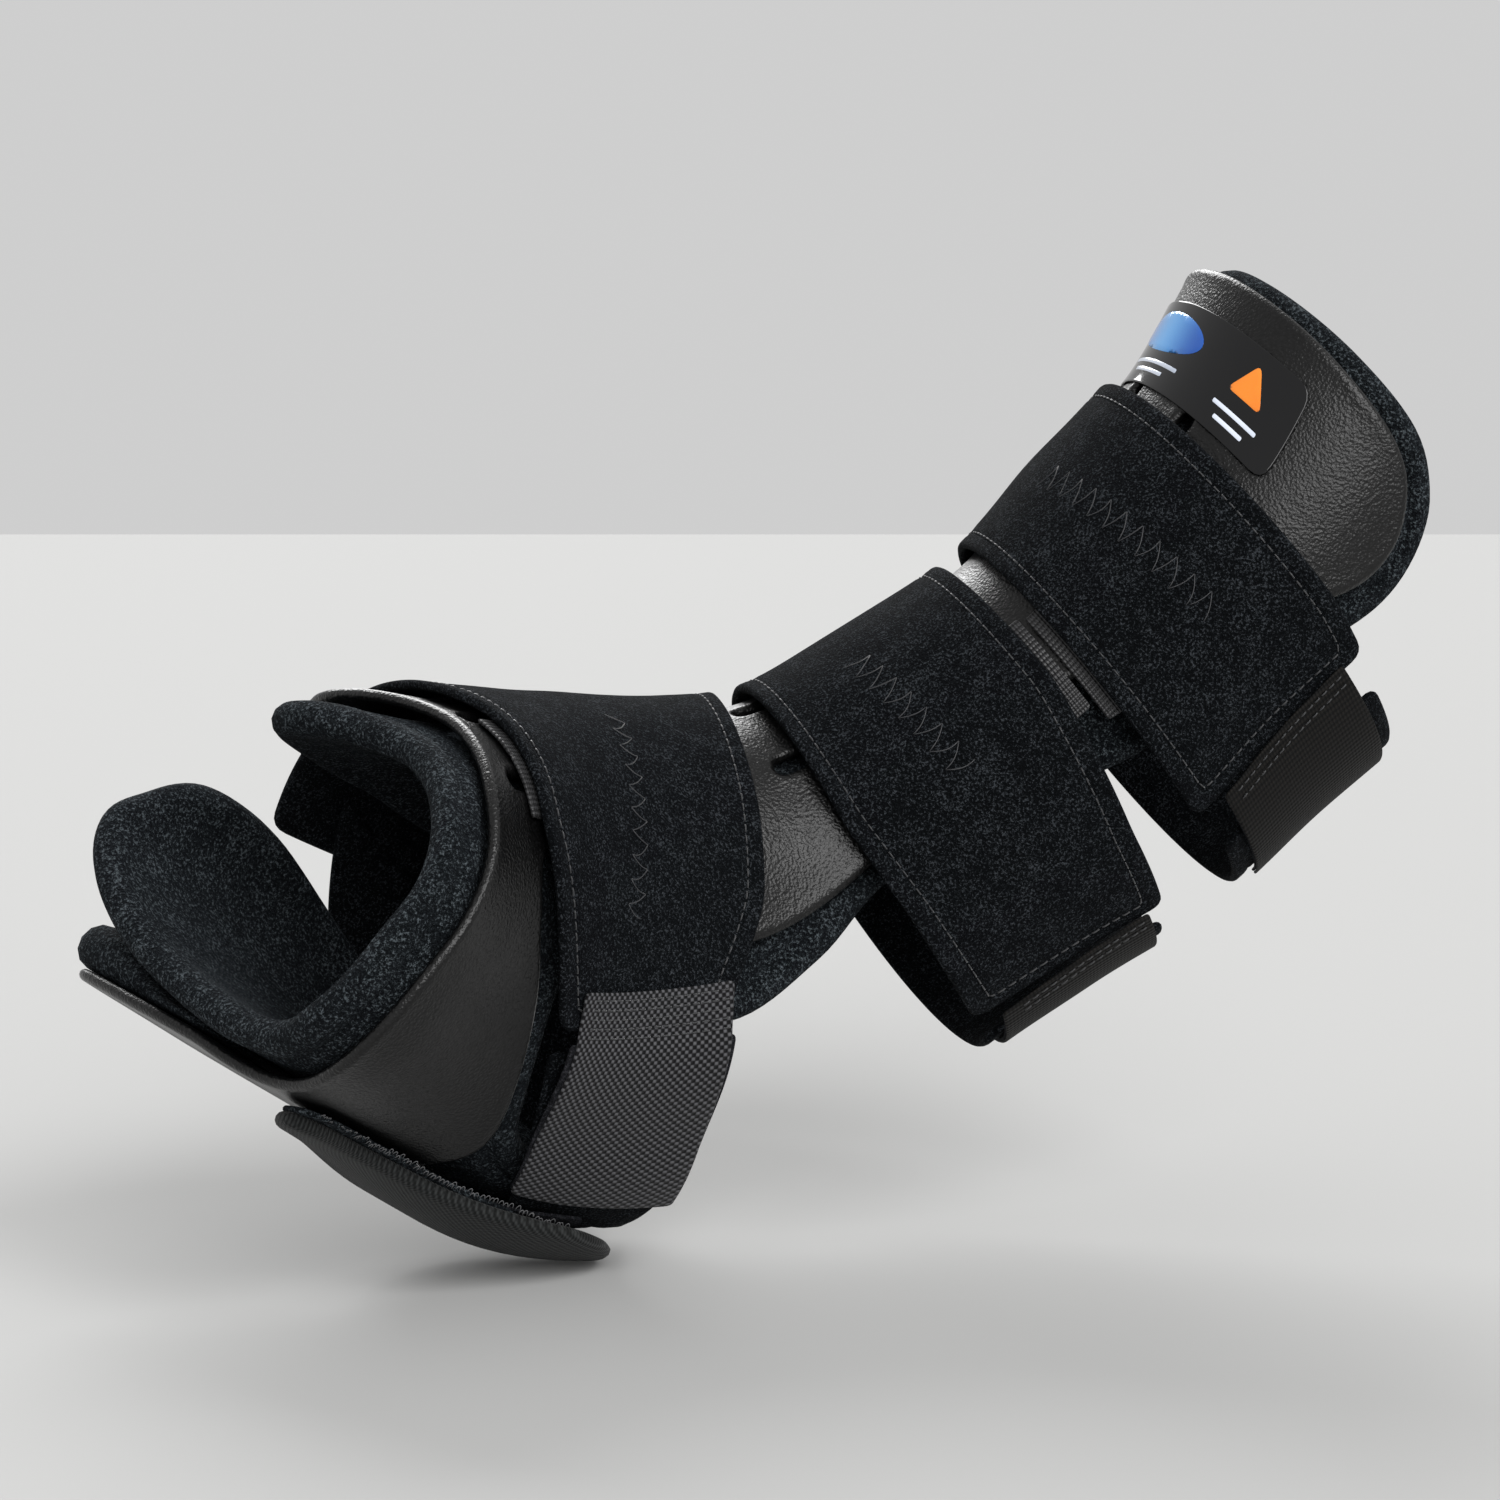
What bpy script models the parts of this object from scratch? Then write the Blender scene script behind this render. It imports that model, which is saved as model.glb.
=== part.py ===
"""Dorsal night splint: an ankle foot orthosis with a rigid front shell, fleece liners and three straps.

Everything follows one limb surface. A place on it has a run (mm down the front line from the shell's top edge
to the toes) and a girth (mm round the limb from the front line, positive toward the near side). A height is
measured outward from the shell's outer face. Each soft or moulded piece is a panel: an outline in run and
girth, given a thickness between two heights.
"""

import bpy
import numpy as np
from math import cos, pi, radians, sin
from mathutils import Vector
from mathutils.geometry import delaunay_2d_cdt

MM = 0.001

# Thicknesses and heights above the shell's outer face, in millimetres.
SHELL_THICKNESS = 3.0
LINER_THICKNESS = 9.5
LINER_TOP = -6.0
DOT_TOP = -3.6
DOT_THICKNESS = 1.4
WEBBING_THICKNESS = 1.0
UNDER_STRAP = 0.7
STRAP_BOTTOM = 2.4
STRAP_THICKNESS = 2.6
SOLE_STRAP_BOTTOM = -4.1
TAB_BOTTOM = 5.6
TAPE_THICKNESS = 0.9
LAYER_GAP = 0.3
SOLE_PAD_BOTTOM = 2.9
SOLE_PAD_THICKNESS = 4.7
FLANGE_PAD_THICKNESS = 12.0

# Strap slots: long holes parallel to the front line, in pairs either side of a bridge.
SLOT_WIDTH = 5.6
SLOT_GIRTHS = (14.0, 44.0)

# The limb surface at stations from above the shell's top to past its front rim, in millimetres and degrees.
# front x, y, z of the front line; tilt of the front direction back from upright; turn toward the near side;
# half depth; depth of the sole below the middle; near half width; far half width; squareness of the near
# sole, far sole and top; rise toward near.
STATIONS = (
    (132, 33, 238, 44, 7, 67, 67, 64, 64, 2.0, 2.0, 2.0, 0.00),
    (123, 30, 226, 43, 7, 66, 66, 63, 63, 2.0, 2.0, 2.0, 0.00),
    (104, 24, 194, 40, 7, 63, 63, 61, 61, 2.0, 2.0, 2.0, 0.00),
    (78, 20, 166, 38, 7, 61, 61, 60, 60, 2.0, 2.0, 2.0, 0.00),
    (53, 15, 138, 37, 7, 59, 59, 58, 58, 2.0, 2.0, 2.0, 0.00),
    (21, 9, 117, 34, 8, 58, 58, 56, 56, 2.0, 2.0, 2.0, 0.00),
    (-10, 0, 100, 27, 12, 60, 60, 53, 53, 2.0, 2.0, 2.0, 0.00),
    (-35, -18, 98, 10, 20, 72, 72, 53, 53, 2.0, 2.0, 2.1, 0.02),
    (-62, -45, 101, -8, 30, 76, 70, 58, 66, 2.4, 2.1, 2.1, 0.05),
    (-88, -78, 105, -20, 38, 61, 58.5, 65, 73, 2.5, 2.1, 2.15, 0.10),
    (-107, -106, 111, -24, 42, 51.5, 54.8, 69, 78, 2.6, 2.1, 2.2, 0.12),
    (-134, -133, 123, -24, 42, 50, 47.3, 69, 80, 2.6, 2.1, 2.2, 0.12),
)
TOP_STATION = 1
# Past this girth the sole plate leaves the limb surface and runs on straight, toward the far side.
FLAT_START = 200.0
FLAT_DIRECTION = Vector((-0.660, 0.726, 0.192))


class LimbSurface:
    """A fine grid of points on the limb, read back by run, girth and height."""

    def __init__(self, run_step=3.0, girth_step=2.0):
        rows = np.array(STATIONS, dtype=float)
        chords = np.linalg.norm(np.diff(rows[:, :3], axis=0), axis=1)
        runs = np.concatenate([[0.0], np.cumsum(chords)])
        self.station_runs = runs - runs[TOP_STATION]
        self.runs = np.arange(self.station_runs[0], self.station_runs[-1], run_step)
        self.girths = np.arange(-190.0, 380.0, girth_step)
        self.points = np.array([self.section(rows, run) for run in self.runs])
        along = np.gradient(self.points, axis=0)
        around = np.gradient(self.points, axis=1)
        normals = np.cross(along, around)
        self.normals = normals / np.linalg.norm(normals, axis=2, keepdims=True)

    def section(self, rows, run):
        """Points round the limb at one run, spaced by girth."""
        row = cubic(self.station_runs, rows, run)
        x, y, z, tilt, turn, depth, sole, near, far, near_sole, far_sole, top, rise = row
        front = np.array([-sin(radians(tilt)), 0.0, cos(radians(tilt))])
        back_up = np.array([cos(radians(tilt)), 0.0, sin(radians(tilt))])
        side = np.array([0.0, -cos(radians(turn)), 0.0]) + back_up * sin(radians(turn))
        centre = np.array([x, y, z]) - front * depth
        angle = np.linspace(-1.3 * pi, 2.2 * pi, 1681)
        width = np.where(np.sin(angle) >= 0, near, far)
        power = np.where(np.cos(angle) >= 0, top, np.where(np.sin(angle) >= 0, near_sole, far_sole))
        across = width * np.sign(np.sin(angle)) * np.abs(np.sin(angle)) ** (2 / power)
        reach = np.where(np.cos(angle) >= 0, depth, -sole)
        up = reach * np.abs(np.cos(angle)) ** (2 / power)
        up = up + rise * across * (1 + np.cos(angle)) / 2
        ring = centre + np.outer(up, front) + np.outer(across, side)
        walked = np.concatenate([[0.0], np.cumsum(np.linalg.norm(np.diff(ring, axis=0), axis=1))])
        walked = walked - np.interp(0.0, angle, walked)
        return np.stack([np.interp(self.girths, walked, ring[:, axis]) for axis in range(3)], axis=1)

    def place(self, run, girth, height):
        """The point in metres at a run, girth and height."""
        i = np.clip((run - self.runs[0]) / (self.runs[1] - self.runs[0]), 0, len(self.runs) - 1.001)
        j = np.clip((girth - self.girths[0]) / (self.girths[1] - self.girths[0]), 0, len(self.girths) - 1.001)
        i0, j0 = int(i), int(j)
        a, b = i - i0, j - j0
        weights = ((i0, j0, (1 - a) * (1 - b)), (i0 + 1, j0, a * (1 - b)), (i0, j0 + 1, (1 - a) * b),
                   (i0 + 1, j0 + 1, a * b))
        point = sum(self.points[m, n] * weight for m, n, weight in weights)
        normal = sum(self.normals[m, n] * weight for m, n, weight in weights)
        normal = normal / np.linalg.norm(normal)
        return Vector((point + normal * height) * MM)

    def place_flat(self, run, girth, height):
        """The same, but straight on past the flat's start, as the sole plate's far flange is."""
        if girth <= FLAT_START:
            return self.place(run, girth, height)
        return self.place(run, FLAT_START, height) + FLAT_DIRECTION * (girth - FLAT_START) * MM


def cubic(knots, rows, at):
    """Catmull-Rom interpolation of a table's rows."""
    k = int(np.clip(np.searchsorted(knots, at) - 1, 0, len(knots) - 2))
    span = knots[k + 1] - knots[k]
    t = (at - knots[k]) / span
    before, after = max(k - 1, 0), min(k + 2, len(knots) - 1)
    slope_a = (rows[k + 1] - rows[before]) / (knots[k + 1] - knots[before]) * span
    slope_b = (rows[after] - rows[k]) / (knots[after] - knots[k]) * span
    return ((2 * t**3 - 3 * t**2 + 1) * rows[k] + (t**3 - 2 * t**2 + t) * slope_a
            + (3 * t**2 - 2 * t**3) * rows[k + 1] + (t**3 - t**2) * slope_b)


def smooth_outline(points, step):
    """A closed curve through the points, with a point about every step."""
    closed = np.array(points, dtype=float)
    outline = []
    count = len(closed)
    for k in range(count):
        p0, p1, p2, p3 = (closed[(k + shift) % count] for shift in (-1, 0, 1, 2))
        pieces = max(1, round(float(np.linalg.norm(p2 - p1)) / step))
        for t in np.arange(pieces) / pieces:
            curve = (2 * p1 + (p2 - p0) * t + (2 * p0 - 5 * p1 + 4 * p2 - p3) * t**2
                     + (3 * p1 - p0 - 3 * p2 + p3) * t**3) / 2
            outline.append(tuple(curve))
    return outline


def rounded_outline(corners, radius, step):
    """A polygon with rounded corners and its long edges divided."""
    outline = []
    count = len(corners)
    arcs = []
    for k in range(count):
        here = np.array(corners[k], dtype=float)
        back = np.array(corners[k - 1], dtype=float) - here
        ahead = np.array(corners[(k + 1) % count], dtype=float) - here
        cut = min(radius, 0.45 * np.linalg.norm(back), 0.45 * np.linalg.norm(ahead))
        start = here + back / np.linalg.norm(back) * cut
        end = here + ahead / np.linalg.norm(ahead) * cut
        arcs.append([(1 - t) ** 2 * start + 2 * t * (1 - t) * here + t * t * end for t in (0.0, 0.5, 1.0)])
    for k in range(count):
        outline.extend(arcs[k])
        gap = arcs[(k + 1) % count][0] - arcs[k][-1]
        pieces = max(1, round(float(np.linalg.norm(gap)) / step))
        outline.extend(arcs[k][-1] + gap * n / pieces for n in range(1, pieces))
    return [tuple(point) for point in outline]


def slot_outline(run_start, run_end, girth):
    """A long round-ended slot, parallel to the front line."""
    half = SLOT_WIDTH / 2
    first, last = run_start + half, run_end - half
    sides = np.linspace(first, last, 2 + round((last - first) / 9.0))
    quarter = (-pi / 4, 0.0, pi / 4)
    outline = [(run, girth - half) for run in sides]
    outline += [(last + half * cos(a), girth + half * sin(a)) for a in quarter]
    outline += [(run, girth + half) for run in reversed(sides)]
    outline += [(first - half * cos(a), girth - half * sin(a)) for a in quarter]
    return [(float(run), float(place)) for run, place in outline]


def inside(point, outline):
    """Whether a point lies inside a closed outline."""
    x, y = point
    odd = False
    for (ax, ay), (bx, by) in zip(outline, outline[1:] + outline[:1]):
        if (ay > y) != (by > y) and x < (bx - ax) * (y - ay) / (by - ay) + ax:
            odd = not odd
    return odd


def edge_distance(point, outline):
    """Distance from a point to the nearest stretch of an outline."""
    p = np.array(point)
    a = np.array(outline)
    b = np.roll(a, -1, axis=0)
    t = np.clip(((p - a) * (b - a)).sum(1) / np.maximum(((b - a) ** 2).sum(1), 1e-9), 0, 1)
    return np.linalg.norm(a + (b - a) * t[:, None] - p, axis=1).min()


def mesh_object(name, vertices, faces, finish):
    """A smooth-shaded object with its own Principled material."""
    mesh = bpy.data.meshes.new(name)
    mesh.from_pydata(vertices, [], faces)
    mesh.update()
    mesh.shade_smooth()
    mesh.set_sharp_from_angle(angle=radians(40))
    piece = bpy.data.objects.new(name, mesh)
    bpy.context.scene.collection.objects.link(piece)
    colour, roughness = finish
    material = bpy.data.materials.new(name)
    material.use_nodes = True
    shader = material.node_tree.nodes["Principled BSDF"]
    shader.inputs["Base Color"].default_value = (*colour, 1.0)
    shader.inputs["Roughness"].default_value = roughness
    shader.inputs["Metallic"].default_value = 0.0
    mesh.materials.append(material)
    return piece


def panel(name, outline, bottom, top, finish, cell=(18.0, 9.0), holes=(), place=None):
    """A closed sheet over the limb surface between two heights, with holes cut through it."""
    loops = [list(outline)] + [list(hole) for hole in holes]
    flat, edges = [], []
    for loop in loops:
        first = len(flat)
        flat += loop
        edges += [(first + k, first + (k + 1) % len(loop)) for k in range(len(loop))]
    low, high = np.min(loops[0], axis=0), np.max(loops[0], axis=0)
    clear = 0.45 * min(cell)
    for run in np.arange(low[0] + cell[0] / 2, high[0], cell[0]):
        for girth in np.arange(low[1] + cell[1] / 2, high[1], cell[1]):
            spot = (float(run), float(girth))
            if inside(spot, loops[0]) and not any(inside(spot, hole) for hole in loops[1:]):
                if all(edge_distance(spot, loop) > clear for loop in loops):
                    flat.append(spot)
    made, _, triangles, *_ = delaunay_2d_cdt([Vector(p) for p in flat], edges, [], 1, 1e-5)
    kept = []
    for triangle in triangles:
        middle = sum((made[k] for k in triangle), Vector((0.0, 0.0))) / 3
        if inside(tuple(middle), loops[0]) and not any(inside(tuple(middle), hole) for hole in loops[1:]):
            kept.append(tuple(triangle))
    place = place or LIMB.place
    vertices = [place(p.x, p.y, height) for height in (top, bottom) for p in made]
    count = len(made)
    directed = {(t[k], t[(k + 1) % 3]) for t in kept for k in range(3)}
    faces = list(kept) + [tuple(count + k for k in reversed(t)) for t in kept]
    faces += [(b, a, count + a, count + b) for a, b in directed if (b, a) not in directed]
    return mesh_object(name, vertices, faces, finish)


def loop_band(name, runs, girths, heights, thickness, finish):
    """A webbing band that closes on itself round a bridge of the shell."""
    rings = []
    for inset in (0.0, thickness):
        g0, g1 = girths[0] + inset, girths[1] - inset
        h0, h1 = heights[0] + inset, heights[1] - inset
        steps = np.linspace(g0, g1, 5)
        rings.append([(g, h1) for g in steps] + [(g, h0) for g in reversed(steps)])
    count = len(rings[0])
    stations = np.linspace(runs[0], runs[1], 5)
    vertices = [LIMB.place(run, g, h) for run in stations for ring in rings for g, h in ring]

    def at(station, ring, k):
        return (station * 2 + ring) * count + k % count

    faces = []
    for k in range(count):
        for s in range(len(stations) - 1):
            faces.append((at(s, 0, k), at(s, 0, k + 1), at(s + 1, 0, k + 1), at(s + 1, 0, k)))
            faces.append((at(s, 1, k + 1), at(s, 1, k), at(s + 1, 1, k), at(s + 1, 1, k + 1)))
        last = len(stations) - 1
        faces.append((at(0, 0, k + 1), at(0, 0, k), at(0, 1, k), at(0, 1, k + 1)))
        faces.append((at(last, 0, k), at(last, 0, k + 1), at(last, 1, k + 1), at(last, 1, k)))
    return mesh_object(name, vertices, [tuple(reversed(face)) for face in faces], finish)


LIMB = LimbSurface()

# Colours and roughness.
PLASTIC = ((0.012, 0.012, 0.012), 0.42)
FLEECE = ((0.006, 0.008, 0.009), 0.95)
PILE = ((0.007, 0.008, 0.010), 0.92)
TAPE = ((0.016, 0.016, 0.018), 0.60)
WEBBING = ((0.010, 0.010, 0.011), 0.75)
LABEL = ((0.004, 0.004, 0.005), 0.08)

# Half of the shell's edge down the shin, as run and girth; the other half mirrors it.
SHIN_EDGE = ((0, 40), (1, 76), (5, 106), (14, 118), (27, 121), (45, 114), (78, 91), (112, 73), (150, 72),
             (188, 82))
CUFF_EDGE = ((222, 91), (252, 84), (276, 70), (290, 61), (298, 67), (295, 84), (288, 104), (284, 130),
             (283, 150), (288, 168), (292, 188), (296, 212), (299, 238), (305, 256), (318, 263), (334, 264),
             (346, 257), (350, 240), (350, 216), (346, 193), (342, 174), (342, 158), (345, 140), (345, 124),
             (341, 106), (334, 88), (328, 70), (325, 50), (321, 34), (318, 16), (318, -4), (321, -24),
             (320, -44), (310, -58), (290, -64), (255, -72), (222, -86))
SHELL_EDGE = (SHIN_EDGE + CUFF_EDGE
              + tuple((run, -girth) for run, girth in reversed(SHIN_EDGE)) + ((0, 0),))

LINER_SHIN_HALF = ((-6, 40), (-6, 80), (-4, 110), (3, 127), (12, 135), (27, 137), (45, 131), (80, 114),
                   (117, 103), (150, 93), (184, 90), (205, 103), (224, 114), (246, 112), (252, 98), (252, 60))
LINER_SHIN_EDGE = (LINER_SHIN_HALF + ((252, 0),)
                   + tuple((run, -girth) for run, girth in reversed(LINER_SHIN_HALF)) + ((-6, 0),))
LINER_FOOT_EDGE = ((255, -72), (255, 0), (255, 55), (257, 78), (266, 90), (273, 106), (274, 136), (269, 156),
                   (248, 176), (241, 196), (243, 240), (256, 276), (274, 300), (300, 314), (325, 316),
                   (341, 302), (352, 286), (358, 258), (357, 225), (354, 190), (354, 160), (357, 134),
                   (352, 104), (343, 78), (337, 50), (332, 20), (333, 0), (337, -20), (338, -36),
                   (332, -48), (314, -58), (290, -66))

# Each strap: its edges where it crosses the front (run at a girth), where its front layer ends and where its
# back layer starts and ends, and its tab's edges and end.
STRAPS = {
    "upper": {"front": ((45, -96), (44, 0), (45, 60), (45, 112), (47, 130), (110, 126), (110, 60), (109, 0),
                        (109, -96)),
              "back": ((49, 143), (49, 190), (49, 276), (107, 263), (107, 190), (107, 143)),
              "tab": ((54, 133), (54, 182), (101, 178), (101, 133)),
              "patch": ((96, 50), (96, 92), (114, 88), (114, 50)), "slots": (39, 107)},
    "lower": {"front": ((120, -86), (119, 0), (119, 70), (126, 116), (128, 146), (182, 140), (186, 100),
                        (190, 70), (190, 0), (190, -86)),
              "back": ((130, 159), (129, 190), (126, 267), (184, 258), (181, 190), (180, 159)),
              "tab": ((133, 149), (133, 186), (176, 184), (176, 149)),
              "patch": ((115.5, 48), (115.5, 82), (133, 82), (133, 48)), "slots": (124, 198)},
    "instep": {"front": ((296, -100), (307, 0), (305, 28), (304, 58), (297, 74), (288, 94), (281, 110),
                         (232, 110), (229, 100), (218, 80), (211, 54), (205, 26), (200, 0), (212, -100)),
               "back": ((276, 118), (272, 150), (264, 190), (262, 220), (270, 260), (284, 310),
                        (230, 298), (229, 260), (234, 225), (241, 190), (236, 150), (234, 118)),
               "tab": ((278, 113), (271, 164), (238, 169), (231, 113)),
               "patch": ((294, 18), (293, 56), (306, 56), (309, 18)), "slots": (212, 312)},
}


def place_instep_tab(run, girth, height):
    """The instep tab steps down past the front layer's end to lie on the strap under the sole."""
    down = min(1.0, max(0.0, (girth - 112.0) / 36.0))
    return LIMB.place(run, girth, height - 6.0 * down * down * (3 - 2 * down))


def build_shell():
    slots = []
    for strap in STRAPS.values():
        for girth in SLOT_GIRTHS:
            slots.append(slot_outline(*strap["slots"], girth))
            slots.append(slot_outline(*strap["slots"], -girth))
    panel("shell", smooth_outline(SHELL_EDGE, 9.0), -SHELL_THICKNESS, 0.0, PLASTIC, (14.0, 9.5), slots,
          LIMB.place_flat)


def build_liners():
    bottom = LINER_TOP - LINER_THICKNESS
    panel("liner_shin", smooth_outline(LINER_SHIN_EDGE, 12.0), bottom, LINER_TOP, FLEECE, (16.0, 10.0))
    panel("liner_foot", smooth_outline(LINER_FOOT_EDGE, 12.0), bottom, LINER_TOP, FLEECE, (18.0, 9.0))
    spots = ((24, -70), (24, 70), (112, 0), (222, 0), (326, 120), (316, 200))
    for number, (run, girth) in enumerate(spots, start=1):
        disc = [(run + 9 * cos(a), girth + 9 * sin(a)) for a in np.arange(12) * pi / 6]
        panel(f"liner_hook_dot_{number}", disc, DOT_TOP - DOT_THICKNESS, DOT_TOP, TAPE)


def build_label():
    outline = rounded_outline(((12, -34), (12, 76), (40, 76), (40, -34)), 5.0, 9.0)
    panel("label_plate", outline, 0.5, 1.0, LABEL)


def build_strap(name, strap):
    top = STRAP_BOTTOM + STRAP_THICKNESS
    front = rounded_outline(strap["front"], 4.0, 9.0)
    panel(f"{name}_strap_front", front, STRAP_BOTTOM, top, PILE, (13.0, 9.0))
    back = STRAP_BOTTOM if name != "instep" else SOLE_STRAP_BOTTOM
    panel(f"{name}_strap_back", rounded_outline(strap["back"], 4.0, 9.0), back, back + STRAP_THICKNESS, PILE,
          (18.0, 9.0))
    tape_top = TAB_BOTTOM + TAPE_THICKNESS
    tab = rounded_outline(strap["tab"], 2.0, 9.0)
    place = LIMB.place if name != "instep" else place_instep_tab
    panel(f"{name}_strap_tab_hooks", tab, TAB_BOTTOM, tape_top, TAPE, (24.0, 9.0), (), place)
    backing = tape_top + LAYER_GAP
    panel(f"{name}_strap_tab", tab, backing, backing + TAPE_THICKNESS, TAPE, (24.0, 9.0), (), place)
    patch = rounded_outline(strap["patch"], 1.0, 9.0)
    patch_top = UNDER_STRAP + WEBBING_THICKNESS
    panel(f"{name}_strap_hook_patch", patch, UNDER_STRAP, patch_top, TAPE, (16.0, 9.0))
    start, end = strap["slots"]
    inner = (start + 8.0, end - 20.0)
    near, far = SLOT_GIRTHS
    heights = (-SHELL_THICKNESS - UNDER_STRAP - WEBBING_THICKNESS, patch_top)
    for side, span in (("near", (near - 0.5, far + 0.5)), ("far", (-far - 0.5, -near + 0.5))):
        loop_band(f"{name}_strap_anchor_{side}", inner, span, heights, WEBBING_THICKNESS, WEBBING)


def build_sole():
    tape = rounded_outline(((252, 172), (322, 172), (298, 196), (262, 218)), 4.0, 9.0)
    tape_top = UNDER_STRAP + TAPE_THICKNESS
    panel("sole_pad_tape", tape, UNDER_STRAP, tape_top, TAPE, (16.0, 9.0), (), LIMB.place_flat)
    pad = smooth_outline(((249, 178), (266, 169), (300, 168), (324, 167), (331, 172), (324, 184), (304, 202),
                          (280, 222), (258, 234), (246, 222), (243, 198)), 9.0)
    top = SOLE_PAD_BOTTOM + SOLE_PAD_THICKNESS
    panel("sole_pad", pad, SOLE_PAD_BOTTOM, top, FLEECE, (16.0, 9.0), (), LIMB.place_flat)


def place_flange_pad(run, girth, height):
    """The far flange's pad is a wedge: height 0 is its top and height 1 lies on the flange."""
    thickness = min(FLANGE_PAD_THICKNESS, max(2.5, 2.5 + 0.36 * (girth - 220.0)))
    return LIMB.place_flat(run, girth, -SHELL_THICKNESS - 0.6 - (1.0 - height) * thickness)


def build_flange_pad():
    outline = smooth_outline(((308, 218), (307, 240), (311, 262), (320, 271), (332, 273), (343, 267),
                              (349, 252), (349, 232), (345, 216)), 6.0)
    panel("far_flange_pad", outline, 0.0, 1.0, FLEECE, (9.0, 8.0), (), place_flange_pad)


def build():
    for thing in list(bpy.data.objects):
        bpy.data.objects.remove(thing, do_unlink=True)
    build_shell()
    build_liners()
    build_label()
    for name, strap in STRAPS.items():
        build_strap(name, strap)
    build_sole()
    build_flange_pad()


build()
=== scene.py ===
"""Looks for the dorsal night splint: shell, fleece liners, loop-pile straps, tapes, stitching and label.

The limb surface, the outlines and the heights repeat the CAD model's, so each piece lies where its CAD node
lies. A place on the limb has a run (mm down the front line from the shell's top), a girth (mm round from the
front line, positive toward the near side) and a height (mm outward from the shell's outer face). An outline
is a list of run and girth.
"""

from math import cos, pi, radians, sin

import bmesh
import bpy
import numpy as np
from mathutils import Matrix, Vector
from mathutils.geometry import delaunay_2d_cdt


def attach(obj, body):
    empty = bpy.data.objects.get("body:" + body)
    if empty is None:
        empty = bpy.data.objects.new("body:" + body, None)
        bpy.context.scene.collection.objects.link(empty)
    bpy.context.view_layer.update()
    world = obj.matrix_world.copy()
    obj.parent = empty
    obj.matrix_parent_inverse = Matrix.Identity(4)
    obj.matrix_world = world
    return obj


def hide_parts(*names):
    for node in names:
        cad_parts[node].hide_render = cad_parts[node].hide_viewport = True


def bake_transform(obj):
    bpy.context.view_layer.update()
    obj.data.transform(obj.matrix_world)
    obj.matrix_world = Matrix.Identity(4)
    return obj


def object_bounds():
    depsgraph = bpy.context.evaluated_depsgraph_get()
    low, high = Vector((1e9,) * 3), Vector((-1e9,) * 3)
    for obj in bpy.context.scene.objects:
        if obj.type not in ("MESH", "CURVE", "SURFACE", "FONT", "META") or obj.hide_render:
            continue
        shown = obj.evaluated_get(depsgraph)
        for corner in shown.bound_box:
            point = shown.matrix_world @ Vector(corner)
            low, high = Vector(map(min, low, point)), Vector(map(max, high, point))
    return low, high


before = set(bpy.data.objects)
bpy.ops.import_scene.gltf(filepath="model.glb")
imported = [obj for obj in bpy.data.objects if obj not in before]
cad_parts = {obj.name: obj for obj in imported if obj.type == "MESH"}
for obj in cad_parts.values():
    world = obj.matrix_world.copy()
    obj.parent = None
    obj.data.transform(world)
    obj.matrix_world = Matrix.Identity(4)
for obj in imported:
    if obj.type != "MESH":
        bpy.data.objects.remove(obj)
CAD_BOX = [list(map(float, corner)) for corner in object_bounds()]

MM = 0.001
RNG = np.random.default_rng(7)

# Each layer's lowest and highest height, in millimetres.
SHELL_LAYER = (-3.0, 0.0)
LINER_LAYER = (-15.5, -6.0)
LABEL_LAYER = (0.5, 1.0)
INK_LAYER = (1.02, 1.08)
HOOK_PATCH_LAYER = (0.7, 1.7)
STRAP_LAYER = (2.4, 5.2)
BACK_LAYER = (2.4, 5.0)
SOLE_STRAP_LAYER = (-4.1, -1.5)
TAB_HOOK_LAYER = (5.6, 6.5)
TAB_COVER_LAYER = (6.6, 7.5)
SOLE_PAD_LAYER = (3.1, 7.6)
SOLE_LINING_LAYER = (1.7, 3.4)

# Distances in from an edge: the shell's raised bead, and the liners' and the straps' sewn grooves. Each has
# rings of points beside it, so that it is drawn round.
BEAD_INSET = 2.2
BEAD_RINGS = (BEAD_INSET, 3.4, 5.0)
LINER_GROOVE_INSET = 9.5
LINER_RINGS = (7.0, 8.3, LINER_GROOVE_INSET, 10.7)
SEAM_INSET = 5.5
SEAM_RINGS = (3.5, 4.6, SEAM_INSET, 6.4)

# Strap slots: long holes parallel to the front line, in pairs either side of a bridge.
SLOT_WIDTH = 5.6
SLOT_GIRTHS = (14.0, 44.0)

# ---------------------------------------------------------------- the limb surface

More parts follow.
